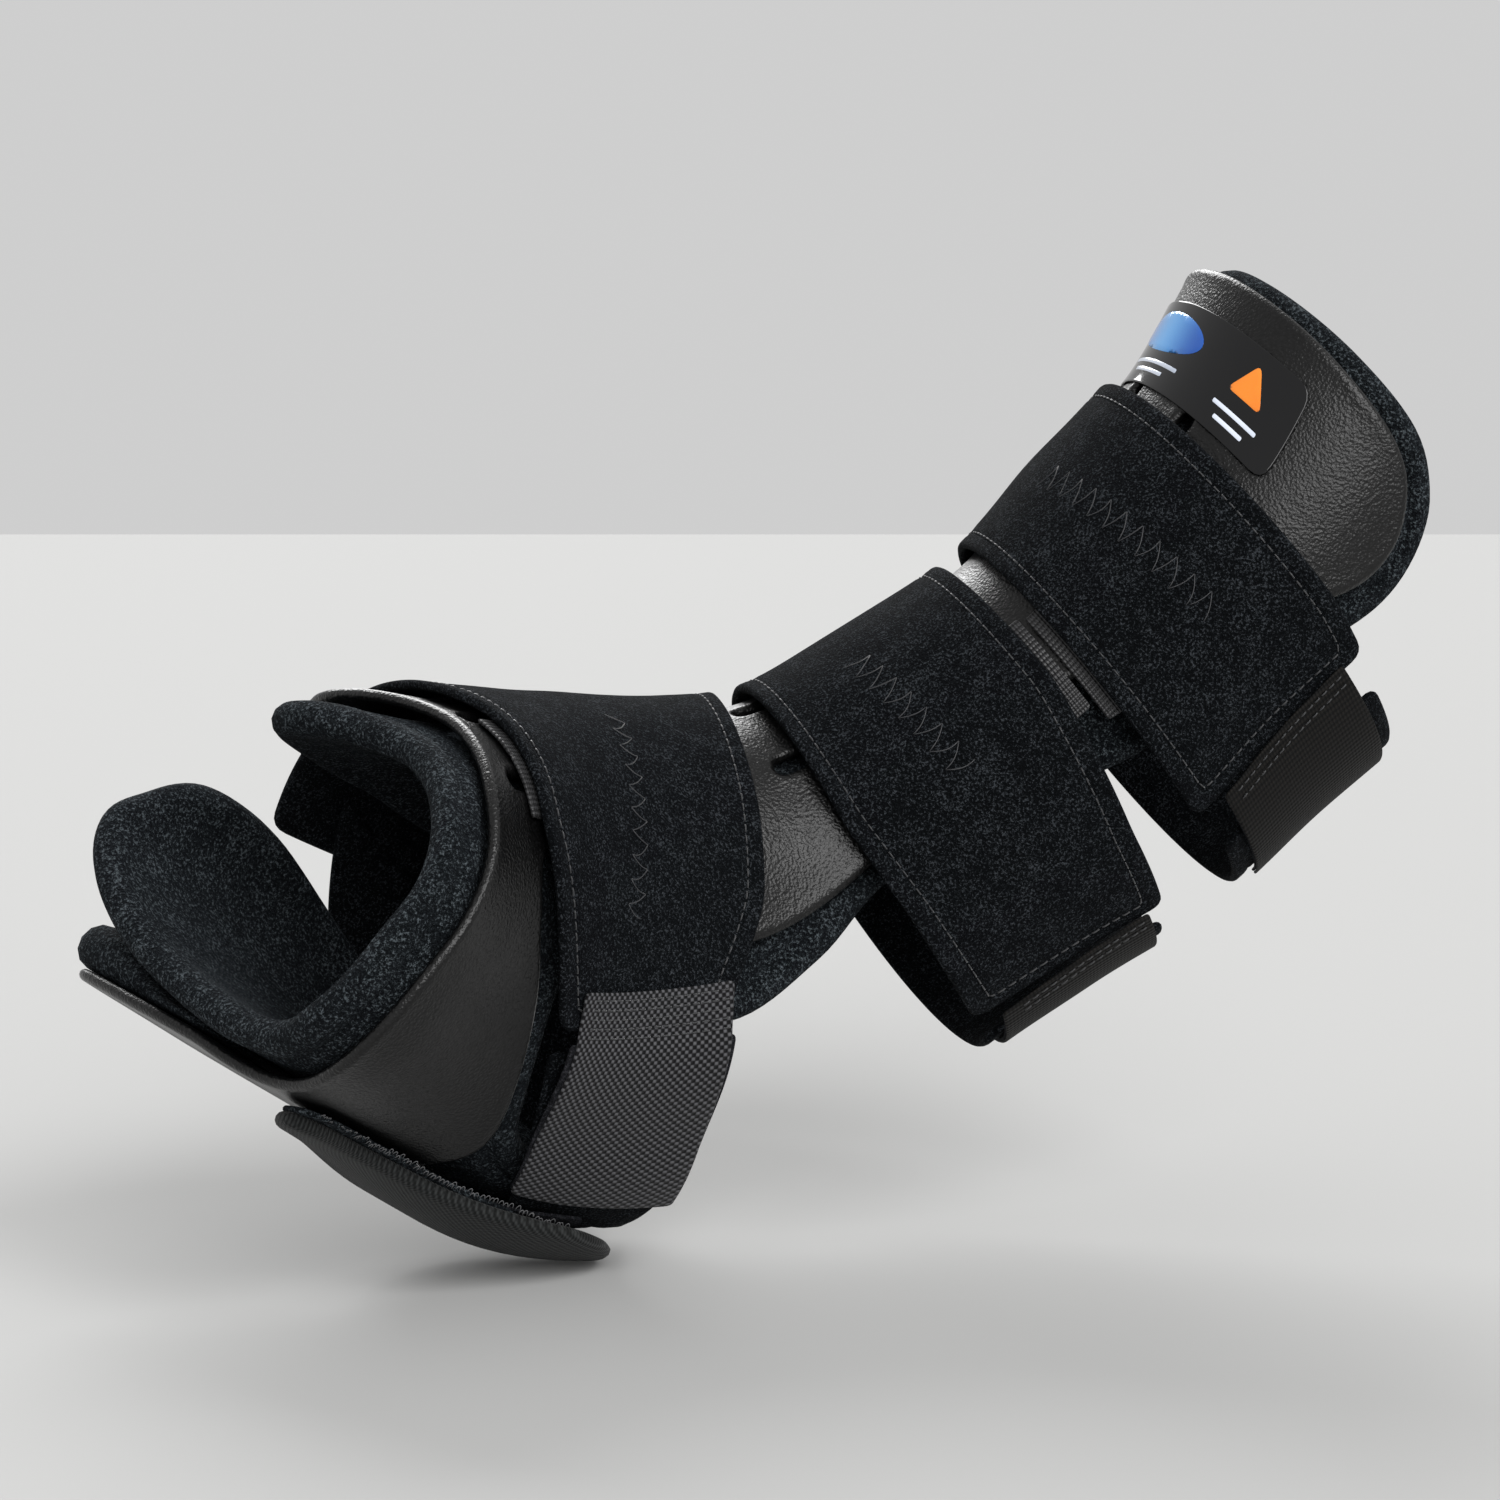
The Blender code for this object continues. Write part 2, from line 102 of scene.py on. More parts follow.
# The limb surface at stations from above the shell's top to past its front rim, in millimetres and degrees.
# front x, y, z of the front line; tilt of the front direction back from upright; turn toward the near side;
# half depth; depth of the sole below the middle; near half width; far half width; squareness of the near
# sole, far sole and top; rise toward near.
STATIONS = (
    (132, 33, 238, 44, 7, 67, 67, 64, 64, 2.0, 2.0, 2.0, 0.00),
    (123, 30, 226, 43, 7, 66, 66, 63, 63, 2.0, 2.0, 2.0, 0.00),
    (104, 24, 194, 40, 7, 63, 63, 61, 61, 2.0, 2.0, 2.0, 0.00),
    (78, 20, 166, 38, 7, 61, 61, 60, 60, 2.0, 2.0, 2.0, 0.00),
    (53, 15, 138, 37, 7, 59, 59, 58, 58, 2.0, 2.0, 2.0, 0.00),
    (21, 9, 117, 34, 8, 58, 58, 56, 56, 2.0, 2.0, 2.0, 0.00),
    (-10, 0, 100, 27, 12, 60, 60, 53, 53, 2.0, 2.0, 2.0, 0.00),
    (-35, -18, 98, 10, 20, 72, 72, 53, 53, 2.0, 2.0, 2.1, 0.02),
    (-62, -45, 101, -8, 30, 76, 70, 58, 66, 2.4, 2.1, 2.1, 0.05),
    (-88, -78, 105, -20, 38, 61, 58.5, 65, 73, 2.5, 2.1, 2.15, 0.10),
    (-107, -106, 111, -24, 42, 51.5, 54.8, 69, 78, 2.6, 2.1, 2.2, 0.12),
    (-134, -133, 123, -24, 42, 50, 47.3, 69, 80, 2.6, 2.1, 2.2, 0.12),
)
TOP_STATION = 1
# Past this girth the sole plate leaves the limb surface and runs on straight, toward the far side.
FLAT_START = 200.0
FLAT_DIRECTION = np.array((-0.660, 0.726, 0.192))


def smooth_step(value, start, span):
    """Rises from 0 at the start to 1 a span later, level at both ends."""
    t = np.clip((np.asarray(value, dtype=float) - start) / span, 0.0, 1.0)
    return t * t * (3 - 2 * t)


def ridge(where, middle, width, height):
    """A low rounded ridge, or with a negative height a groove."""
    return height * np.exp(-((where - middle) / width) ** 2)


def cubic(knots, rows, at):
    """Catmull-Rom interpolation of a table's rows."""
    k = int(np.clip(np.searchsorted(knots, at) - 1, 0, len(knots) - 2))
    span = knots[k + 1] - knots[k]
    t = (at - knots[k]) / span
    before, after = max(k - 1, 0), min(k + 2, len(knots) - 1)
    slope_a = (rows[k + 1] - rows[before]) / (knots[k + 1] - knots[before]) * span
    slope_b = (rows[after] - rows[k]) / (knots[after] - knots[k]) * span
    return ((2 * t**3 - 3 * t**2 + 1) * rows[k] + (t**3 - 2 * t**2 + t) * slope_a
            + (3 * t**2 - 2 * t**3) * rows[k + 1] + (t**3 - t**2) * slope_b)


class LimbSurface:
    """A fine grid of points on the limb, read back by run, girth and height."""

    def __init__(self, run_step=3.0, girth_step=2.0):
        rows = np.array(STATIONS, dtype=float)
        chords = np.linalg.norm(np.diff(rows[:, :3], axis=0), axis=1)
        runs = np.concatenate([[0.0], np.cumsum(chords)])
        self.station_runs = runs - runs[TOP_STATION]
        self.runs = np.arange(self.station_runs[0], self.station_runs[-1], run_step)
        self.girths = np.arange(-190.0, 380.0, girth_step)
        self.points = np.array([self.section(rows, run) for run in self.runs])
        along = np.gradient(self.points, axis=0)
        around = np.gradient(self.points, axis=1)
        normals = np.cross(along, around)
        length = np.linalg.norm(normals, axis=2, keepdims=True)
        self.normals = normals / np.maximum(length, 1e-9)

    def section(self, rows, run):
        """Points round the limb at one run, spaced by girth."""
        row = cubic(self.station_runs, rows, run)
        x, y, z, tilt, turn, depth, sole, near, far, near_sole, far_sole, top, rise = row
        front = np.array([-sin(radians(tilt)), 0.0, cos(radians(tilt))])
        back_up = np.array([cos(radians(tilt)), 0.0, sin(radians(tilt))])
        side = np.array([0.0, -cos(radians(turn)), 0.0]) + back_up * sin(radians(turn))
        centre = np.array([x, y, z]) - front * depth
        angle = np.linspace(-1.3 * pi, 2.2 * pi, 1681)
        width = np.where(np.sin(angle) >= 0, near, far)
        power = np.where(np.cos(angle) >= 0, top, np.where(np.sin(angle) >= 0, near_sole, far_sole))
        across = width * np.sign(np.sin(angle)) * np.abs(np.sin(angle)) ** (2 / power)
        reach = np.where(np.cos(angle) >= 0, depth, -sole)
        up = reach * np.abs(np.cos(angle)) ** (2 / power)
        up = up + rise * across * (1 + np.cos(angle)) / 2
        ring = centre + np.outer(up, front) + np.outer(across, side)
        walked = np.concatenate([[0.0], np.cumsum(np.linalg.norm(np.diff(ring, axis=0), axis=1))])
        walked = walked - np.interp(0.0, angle, walked)
        return np.stack([np.interp(self.girths, walked, ring[:, axis]) for axis in range(3)], axis=1)

    def place(self, run, girth, height):
        """Points in metres at arrays of run, girth and height."""
        run, girth, height = np.broadcast_arrays(*(np.asarray(v, dtype=float) for v in (run, girth, height)))
        i = np.clip((run - self.runs[0]) / (self.runs[1] - self.runs[0]), 0, len(self.runs) - 1.001)
        j = np.clip((girth - self.girths[0]) / (self.girths[1] - self.girths[0]), 0, len(self.girths) - 1.001)
        i0, j0 = i.astype(int), j.astype(int)
        a, b = (i - i0)[..., None], (j - j0)[..., None]

        def mix(grid):
            return ((1 - a) * (1 - b) * grid[i0, j0] + a * (1 - b) * grid[i0 + 1, j0]
                    + (1 - a) * b * grid[i0, j0 + 1] + a * b * grid[i0 + 1, j0 + 1])

        normal = mix(self.normals)
        normal = normal / np.linalg.norm(normal, axis=-1, keepdims=True)
        return (mix(self.points) + normal * height[..., None]) * MM

    def place_flat(self, run, girth, height):
        """The same, but straight on past the flat's start, as the sole plate's far flange is."""
        run, girth, height = np.broadcast_arrays(*(np.asarray(v, dtype=float) for v in (run, girth, height)))
        base = self.place(run, np.minimum(girth, FLAT_START), height)
        return base + FLAT_DIRECTION * np.maximum(girth - FLAT_START, 0.0)[..., None] * MM


LIMB = LimbSurface()


def place_instep_tab(run, girth, height):
    """The instep tab steps down past the front layer's end to lie on the strap under the sole."""
    return LIMB.place(run, girth, height - 6.0 * smooth_step(girth, 112.0, 36.0))


# ---------------------------------------------------------------- outlines

def smooth_outline(points, step):
    """A closed curve through the points, with a point about every step."""
    closed = np.array(points, dtype=float)
    outline = []
    count = len(closed)
    for k in range(count):
        p0, p1, p2, p3 = (closed[(k + shift) % count] for shift in (-1, 0, 1, 2))
        pieces = max(1, round(float(np.linalg.norm(p2 - p1)) / step))
        t = (np.arange(pieces) / pieces)[:, None]
        outline.append((2 * p1 + (p2 - p0) * t + (2 * p0 - 5 * p1 + 4 * p2 - p3) * t**2
                        + (3 * p1 - p0 - 3 * p2 + p3) * t**3) / 2)
    return np.concatenate(outline)


def rounded_outline(corners, radius, step):
    """A polygon with rounded corners and its long edges divided."""
    corners = np.array(corners, dtype=float)
    count = len(corners)
    arcs = []
    turns = np.linspace(0.0, 1.0, 5)[:, None]
    for k in range(count):
        here, back, ahead = corners[k], corners[k - 1] - corners[k], corners[(k + 1) % count] - corners[k]
        cut = min(radius, 0.45 * np.linalg.norm(back), 0.45 * np.linalg.norm(ahead))
        start = here + back / np.linalg.norm(back) * cut
        end = here + ahead / np.linalg.norm(ahead) * cut
        arcs.append((1 - turns) ** 2 * start + 2 * turns * (1 - turns) * here + turns**2 * end)
    outline = []
    for k in range(count):
        outline.append(arcs[k])
        gap = arcs[(k + 1) % count][0] - arcs[k][-1]
        pieces = max(1, round(float(np.linalg.norm(gap)) / step))
        outline.append(arcs[k][-1] + gap * (np.arange(1, pieces) / pieces)[:, None])
    return np.concatenate(outline)


def slot_outline(run_start, run_end, girth):
    """A long round-ended slot, parallel to the front line."""
    half = SLOT_WIDTH / 2
    first, last = run_start + half, run_end - half
    sides = np.linspace(first, last, 2 + round((last - first) / 4.0))
    turn = np.linspace(-pi / 2, pi / 2, 9)[1:-1]
    low = np.stack([sides, np.full_like(sides, girth - half)], axis=1)
    far_end = np.stack([last + half * np.cos(turn), girth + half * np.sin(turn)], axis=1)
    near_end = np.stack([first - half * np.cos(turn), girth - half * np.sin(turn)], axis=1)
    high = np.stack([sides[::-1], np.full_like(sides, girth + half)], axis=1)
    return np.concatenate([low, far_end, high, near_end])


def inside(points, outline):
    """Which points lie inside a closed outline."""
    x, y = points[:, 0][:, None], points[:, 1][:, None]
    ax, ay = outline[:, 0], outline[:, 1]
    bx, by = np.roll(ax, -1), np.roll(ay, -1)
    rises = by - ay
    crossing = ((ay > y) != (by > y)) & (x < (bx - ax) * (y - ay) / np.where(rises == 0, 1e-12, rises) + ax)
    return crossing.sum(1) % 2 == 1


def edge_distance(points, outline):
    """Distance from each point to the nearest stretch of an outline."""
    a, b = outline, np.roll(outline, -1, axis=0)
    d = b - a
    best = np.full(len(points), 1e9)
    for k in range(len(a)):
        t = np.clip(((points - a[k]) @ d[k]) / max(d[k] @ d[k], 1e-12), 0, 1)
        best = np.minimum(best, np.linalg.norm(points - a[k] - t[:, None] * d[k], axis=1))
    return best


def mirrored(half):
    """The other half of an edge, on the far side, in the order that closes it."""
    return tuple((run, -girth) for run, girth in reversed(half))


def filled(points, loops):
    """Which points lie inside the first loop and outside the rest, which are holes."""
    keep = inside(points, loops[0])
    for hole in loops[1:]:
        keep &= ~inside(points, hole)
    return keep


def clearance(points, loops):
    """Distance from each point to the nearest stretch of any loop."""
    return np.min([edge_distance(points, loop) for loop in loops], axis=0)


def inset_ring(outline, distance, into=1.0):
    """The outline moved inward, or outward with into -1, keeping the points that stay that far from it."""
    ahead = np.roll(outline, -1, axis=0) - np.roll(outline, 1, axis=0)
    normal = np.stack([-ahead[:, 1], ahead[:, 0]], axis=1)
    normal = normal / np.maximum(np.linalg.norm(normal, axis=1, keepdims=True), 1e-9)
    area = np.sum(outline[:, 0] * np.roll(outline[:, 1], -1) - np.roll(outline[:, 0], -1) * outline[:, 1])
    ring = outline + normal * distance * into * (1.0 if area > 0 else -1.0)
    return ring[edge_distance(ring, outline) > 0.93 * distance]


# ---------------------------------------------------------------- meshes

def new_object(name, vertices, faces, cloth=None):
    """A smooth mesh object, whose attribute "cloth" is each point's run and girth in metres."""
    mesh = bpy.data.meshes.new(name)
    mesh.from_pydata([tuple(v) for v in vertices], [], faces)
    mesh.update()
    mesh.shade_smooth()
    if cloth is not None:
        attribute = mesh.attributes.new("cloth", "FLOAT_VECTOR", "POINT")
        attribute.data.foreach_set("vector", np.asarray(cloth, dtype=np.float32).ravel())
    piece = bpy.data.objects.new(name, mesh)
    bpy.context.scene.collection.objects.link(piece)
    return piece


def ring_points(loops, insets):
    """Rings of points at each inset from the outline, which is the first loop, and from each hole."""
    rings = []
    for number, loop in enumerate(loops):
        others = [other for k, other in enumerate(loops) if k != number]
        for inset in insets:
            ring = inset_ring(loop, inset, 1.0 if number == 0 else -1.0)
            keep = inside(ring, loops[0])
            for other in others:
                keep &= edge_distance(ring, other) > inset * 0.9
            rings.append(ring[keep])
    return rings


def grid_points(loops, cell, reach):
    """A grid that fills the outline outside its holes, and keeps its reach from every edge."""
    low, high = loops[0].min(0), loops[0].max(0)
    sides = [np.arange(low[k] + cell / 2, high[k], cell) for k in range(2)]
    grid = np.stack(np.meshgrid(*sides, indexing="ij"), axis=-1).reshape(-1, 2)
    grid[::2] += 1e-3
    grid = grid[filled(grid, loops)]
    return grid[clearance(grid, loops) > reach]


def panel(name, outline, layer, cell, edge, holes=(), place=LIMB.place, relief=None, rings=()):
    """A closed sheet that fills an outline between a layer's two heights.

    Its points lie about a cell apart, and on rings at these distances in from the edge. Its edges are rounded
    over the distance called edge. relief(run, girth, distance from the edge) adds height to the top face.
    """
    loops = [outline, *holes]
    steps = np.linspace(0, 1, 4)[1:] if edge > 1.0 else np.array([0.5, 1.0])
    insets = [edge * (1 - cos(pi / 2 * step)) for step in steps] + list(rings)
    borders = []
    for loop in loops:
        first = len(borders)
        borders += [(first + k, first + (k + 1) % len(loop)) for k in range(len(loop))]
    fill = grid_points(loops, cell, max(insets) + 0.4 * cell)
    flat = np.concatenate(loops + ring_points(loops, insets) + [fill])
    points, _, triangles, *_ = delaunay_2d_cdt([Vector(point) for point in flat], borders, [], 1, 1e-5)
    points = np.array([tuple(point) for point in points])
    triangles = np.array(triangles)
    triangles = triangles[filled(points[triangles].mean(axis=1), loops)]

    run, girth = points.T
    distance = clearance(points, loops)
    profile = np.sqrt(1 - (1 - np.clip(distance / edge, 0, 1)) ** 2)
    middle, half = (layer[1] + layer[0]) / 2, (layer[1] - layer[0]) / 2
    lift = relief(run, girth, distance) if relief else 0.0
    upper = place(run, girth, middle + half * profile + lift * profile)
    lower = place(run, girth, middle - half * profile)

    rim = distance < 1e-4
    below = np.where(rim, np.arange(len(points)), len(points) + np.cumsum(~rim) - 1)
    cloth = np.column_stack([points * MM, np.zeros(len(points))])
    faces = [tuple(int(k) for k in triangle) for triangle in triangles]
    faces += [tuple(int(below[k]) for k in reversed(triangle)) for triangle in triangles
              if not all(rim[triangle])]
    vertices = np.concatenate([upper, lower[~rim]])
    piece = new_object(name, vertices, faces, np.concatenate([cloth, cloth[~rim]]))
    tidy(piece)
    return piece


def tidy(piece):
    """Drops loose vertices and faces without area, and points the faces outward."""
    mesh = bmesh.new()
    mesh.from_mesh(piece.data)
    bmesh.ops.dissolve_degenerate(mesh, dist=1e-7, edges=mesh.edges)
    loose = [v for v in mesh.verts if not v.link_faces]
    bmesh.ops.delete(mesh, geom=loose, context="VERTS")
    bmesh.ops.recalc_face_normals(mesh, faces=mesh.faces)
    if mesh.calc_volume(signed=True) < 0:
        bmesh.ops.reverse_faces(mesh, faces=mesh.faces)
    mesh.to_mesh(piece.data)
    mesh.free()


def tube(name, paths, radius, sides):
    """Threads: one object with a closed round tube along each path of points in metres, its radius in mm."""
    vertices, faces = [], []
    turn = np.arange(sides) * 2 * pi / sides
    for path in paths:
        path = np.asarray(path)
        ahead = np.gradient(path, axis=0)
        ahead = ahead / np.linalg.norm(ahead, axis=1, keepdims=True)
        across = np.cross(ahead, [0.31, 0.52, 0.79])
        across = across / np.linalg.norm(across, axis=1, keepdims=True)
        other = np.cross(ahead, across)
        first = len(vertices)
        for point, u, v in zip(path, across, other):
            vertices += [point + radius * MM * (cos(a) * u + sin(a) * v) for a in turn]
        for k in range(len(path) - 1):
            for n in range(sides):
                m = (n + 1) % sides
                a, b = first + k * sides, first + (k + 1) * sides
                faces.append((a + n, a + m, b + m, b + n))
        faces.append(tuple(first + n for n in reversed(range(sides))))
        last = first + (len(path) - 1) * sides
        faces.append(tuple(last + n for n in range(sides)))
    piece = new_object(name, vertices, faces)
    tidy(piece)
    return piece


# ---------------------------------------------------------------- materials

def material(name, roughness, sheen=0.0, sheen_tint=(1, 1, 1), coat=0.0, specular=0.5):
    """A Principled material and its node tree."""
    made = bpy.data.materials.new(name)
    made.use_nodes = True
    shader = made.node_tree.nodes["Principled BSDF"]
    shader.inputs["Roughness"].default_value = roughness
    shader.inputs["Sheen Weight"].default_value = sheen
    shader.inputs["Sheen Roughness"].default_value = 0.55
    shader.inputs["Sheen Tint"].default_value = (*sheen_tint, 1)
    shader.inputs["Coat Weight"].default_value = coat
    shader.inputs["Coat Roughness"].default_value = 0.12
    shader.inputs["Specular IOR Level"].default_value = specular
    return made, made.node_tree, shader


def plain_material(name, roughness, colour, **finish):
    """A material of one colour, for threads, film and paper."""
    made, _, shader = material(name, roughness, **finish)
    shader.inputs["Base Color"].default_value = (*colour, 1)
    return made


def add(tree, kind, **settings):
    """A node with its properties and its named inputs set."""
    node = tree.nodes.new(kind)
    for name, value in settings.items():
        if hasattr(node, name):
            setattr(node, name, value)
        else:
            node.inputs[name.replace("_", " ")].default_value = value
    return node


def noise(tree, vector, scale, detail, roughness=0.6):
    """A noise's strength at each place."""
    node = add(tree, "ShaderNodeTexNoise", Scale=scale, Detail=detail, Roughness=roughness)
    tree.links.new(vector, node.inputs["Vector"])
    return node.outputs["Fac"]


def ramp(tree, factor, stops):
    """A colour ramp over (position, colour) stops."""
    node = tree.nodes.new("ShaderNodeValToRGB")
    for element, (position, colour) in zip(node.color_ramp.elements, (stops[0], stops[-1])):
        element.position = position
        element.color = (*colour, 1)
    for position, colour in stops[1:-1]:
        node.color_ramp.elements.new(position).color = (*colour, 1)
    tree.links.new(factor, node.inputs["Fac"])
    return node.outputs["Color"]


def calculate(tree, operation, first, second=0.0, third=0.0):
    """A sum on sockets or numbers."""
    node = add(tree, "ShaderNodeMath", operation=operation)
    for socket, value in zip(node.inputs, (first, second, third)):
        if isinstance(value, (int, float)):
            socket.default_value = value
        else:
            tree.links.new(value, socket)
    return node.outputs[0]


def wave(tree, value, length):
    """A sine along a value in metres, repeating over a length in millimetres."""
    return calculate(tree, "SINE", calculate(tree, "MULTIPLY", value, 2 * pi / (length * MM)))


def bump(tree, shader, height, strength, distance):
    """Raises the shading by a height from 0 to 1, over a distance in metres."""
    node = add(tree, "ShaderNodeBump", Strength=strength, Distance=distance)
    tree.links.new(height, node.inputs["Height"])
    tree.links.new(node.outputs["Normal"], shader.inputs["Normal"])


def object_place(tree):
    """The place in the object's own metres."""
    return tree.nodes.new("ShaderNodeTexCoord").outputs["Object"]


def cloth_place(tree):
    """The run and the girth in metres."""
    node = add(tree, "ShaderNodeAttribute", attribute_name="cloth")
    split = tree.nodes.new("ShaderNodeSeparateXYZ")
    tree.links.new(node.outputs["Vector"], split.inputs[0])
    return split.outputs["X"], split.outputs["Y"]


def plastic_material():
    """Black moulded plastic with a fine pebble grain."""
    made, tree, shader = material("moulded_plastic", 0.34, specular=0.32)
    place = object_place(tree)
    cells = add(tree, "ShaderNodeTexVoronoi", Scale=1150.0, feature="SMOOTH_F1")
    tree.links.new(place, cells.inputs["Vector"])
    grain = noise(tree, place, 1700.0, 1.0)
    height = calculate(tree, "ADD", cells.outputs["Distance"], calculate(tree, "MULTIPLY", grain, 0.7))
    bump(tree, shader, height, 0.8, 0.00026)
    pores = ramp(tree, height, ((0.35, (0.005, 0.005, 0.0052)), (0.95, (0.0015, 0.0015, 0.0015))))
    tree.links.new(pores, shader.inputs["Base Color"])
    patches = noise(tree, place, 60.0, 4.0)
    tree.links.new(calculate(tree, "MULTIPLY_ADD", patches, 0.16, 0.24), shader.inputs["Roughness"])
    return made


def pile_material(name, dark, light, speckle, scale, sheen):
    """Brushed fabric: short tangled fibres, some catching the light."""
    made, tree, shader = material(name, 0.95, sheen=sheen, sheen_tint=(0.55, 0.65, 0.8), specular=0.06)
    place = object_place(tree)
    fibre = calculate(tree, "MULTIPLY", noise(tree, place, scale, 2.0, 0.8), 0.82)
    clumps = calculate(tree, "MULTIPLY", noise(tree, place, scale / 9, 3.0), 0.18)
    mixed = calculate(tree, "ADD", fibre, clumps)
    colours = ramp(tree, mixed, ((0.43, dark), (0.53, light), (0.64, speckle)))
    tree.links.new(colours, shader.inputs["Base Color"])
    bump(tree, shader, mixed, 1.0, 0.0026)
    return made


def rib_material(name, dark, light, pitch, roughness, twill=0.0, specular=0.3, sheen=0.05):
    """Woven tape: ribs across the girth, slanted by the twill and crossed by finer beats."""
    made, tree, shader = material(name, roughness, sheen=sheen, specular=specular)
    run, girth = cloth_place(tree)
    slanted = calculate(tree, "ADD", girth, calculate(tree, "MULTIPLY", run, twill))
    crossing = calculate(tree, "SUBTRACT", run, calculate(tree, "MULTIPLY", girth, 0.5 * twill))
    beats = calculate(tree, "MULTIPLY", wave(tree, crossing, pitch * 0.6), 0.6)
    both = calculate(tree, "ADD", wave(tree, slanted, pitch), beats)
    height = calculate(tree, "MULTIPLY_ADD", both, 0.31, 0.5)
    tree.links.new(ramp(tree, height, ((0.3, dark), (0.95, light))), shader.inputs["Base Color"])
    bump(tree, shader, height, 0.8, 0.0004)
    return made


def brick_weave_material(name, dark, light, row, float_length):
    """Plain weave: rows of short floats, each row half a float along from the last."""
    made, tree, shader = material(name, 0.5, sheen=0.05, specular=0.12)
    run, girth = cloth_place(tree)
    bricks = calculate(tree, "MULTIPLY", wave(tree, girth, 2 * row), wave(tree, run, float_length))
    height = calculate(tree, "MULTIPLY_ADD", bricks, 0.5, 0.5)
    tree.links.new(ramp(tree, height, ((0.42, dark), (0.85, light))), shader.inputs["Base Color"])
    bump(tree, shader, height, 0.8, 0.0003)
    return made


def ink_material(name, dark, light):
    """Printed colour under the label's gloss, shading from one colour to the other round the girth."""
    made, tree, shader = material(name, 0.15, coat=0.1)
    _, girth = cloth_place(tree)
    shade = calculate(tree, "MULTIPLY_ADD", wave(tree, girth, 45.0), 0.5, 0.5)
    tree.links.new(ramp(tree, shade, ((0.0, dark), (1.0, light))), shader.inputs["Base Color"])
    return made


PLASTIC = plastic_material()
FLEECE = pile_material("fleece", (0.0015, 0.002, 0.0025), (0.0085, 0.0108, 0.0122), (0.085, 0.101, 0.111),
                       1100.0, 0.03)
PILE = pile_material("strap_pile", (0.0007, 0.001, 0.0014), (0.0028, 0.0036, 0.0044), (0.046, 0.052, 0.059),
                     1350.0, 0.012)
SELVAGE = rib_material("selvage_tape", (0.0015, 0.0015, 0.002), (0.034, 0.034, 0.036), 1.6, 0.34)
TAPE = brick_weave_material("tab_tape", (0.001, 0.001, 0.0015), (0.088, 0.088, 0.094), 1.05, 1.9)
# Painted shade: the calf tabs' cover is the same tab tape as the instep tab's, given a much darker colour for
# the shade it lies in.
SHADED_TAB_TAPE = rib_material("tab_tape_painted_shade", (0.001, 0.001, 0.001), (0.008, 0.007, 0.006), 1.7, 0.7,
                         twill=0.12, specular=0.15, sheen=0.0)
HOOKS = pile_material("hook_tape", (0.006, 0.006, 0.007), (0.014, 0.014, 0.016), (0.035, 0.035, 0.04),
                      1000.0, 0.02)
PADCLOTH = rib_material("pad_cloth", (0.002, 0.0025, 0.0025), (0.024, 0.026, 0.026), 1.5, 0.7,
                        twill=1.0, specular=0.15)
THREAD = plain_material("thread", 0.5, (0.012, 0.013, 0.015), sheen=0.2)
THREAD_LIGHT = plain_material("thread_light", 0.45, (0.019, 0.020, 0.023), sheen=0.1)
HOOK_LOOPS = plain_material("hook_loops", 0.3, (0.10, 0.10, 0.104), specular=0.6)
LABEL = plain_material("label_film", 0.06, (0.0035, 0.0035, 0.004), coat=0.15, specular=0.3)
BLUE = ink_material("ink_blue", (0.01, 0.09, 0.42), (0.10, 0.38, 0.80))
ORANGE = ink_material("ink_orange", (0.55, 0.07, 0.01), (0.85, 0.24, 0.02))
PALE = ink_material("ink_pale", (0.45, 0.5, 0.6), (0.7, 0.75, 0.85))


def dress(piece, look, slot, *nodes):
    """Gives a piece its material and hides the CAD nodes it stands for; its record slot is not used."""
    piece.data.materials.append(look)
    if nodes:
        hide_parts(*nodes)


def finish_piece(piece, look, slot, body, *nodes):
    """Dresses a piece that rides on one body."""
    dress(piece, look, slot, *nodes)
    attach(piece, body)


# ---------------------------------------------------------------- outlines of the pieces

# Half of the shell's edge down the shin, as run and girth; the other half mirrors it.
SHIN_EDGE = ((0, 40), (1, 76), (5, 106), (14, 118), (27, 121), (45, 114), (78, 91), (112, 73), (150, 72),
             (188, 82))
CUFF_EDGE = ((222, 91), (252, 84), (276, 70), (290, 61), (298, 67), (295, 84), (288, 104), (284, 130),
             (283, 150), (288, 168), (292, 188), (296, 212), (299, 238), (305, 256), (318, 263), (334, 264),
             (346, 257), (350, 240), (350, 216), (346, 193), (342, 174), (342, 158), (345, 140), (345, 124),
             (341, 106), (334, 88), (328, 70), (325, 50), (321, 34), (318, 16), (318, -4), (321, -24),
             (320, -44), (310, -58), (290, -64), (255, -72), (222, -86))
SHELL_EDGE = SHIN_EDGE + CUFF_EDGE + mirrored(SHIN_EDGE) + ((0, 0),)

LINER_SHIN_HALF = ((-6, 40), (-6, 80), (-4, 110), (3, 127), (12, 135), (27, 137), (45, 131), (80, 114),
                   (117, 103), (150, 93), (184, 90), (205, 103), (224, 114), (246, 112), (252, 98), (252, 60))
LINER_SHIN_EDGE = LINER_SHIN_HALF + ((252, 0),) + mirrored(LINER_SHIN_HALF) + ((-6, 0),)
LINER_FOOT_EDGE = ((255, -72), (255, 0), (255, 55), (257, 78), (266, 90), (273, 106), (274, 136), (269, 156),
                   (248, 176), (241, 196), (243, 240), (256, 276), (274, 300), (300, 314), (325, 316),
                   (341, 302), (352, 286), (358, 258), (357, 225), (354, 190), (354, 160), (357, 134),
                   (352, 104), (343, 78), (337, 50), (332, 20), (333, 0), (337, -20), (338, -36),
                   (332, -48), (314, -58), (290, -66))

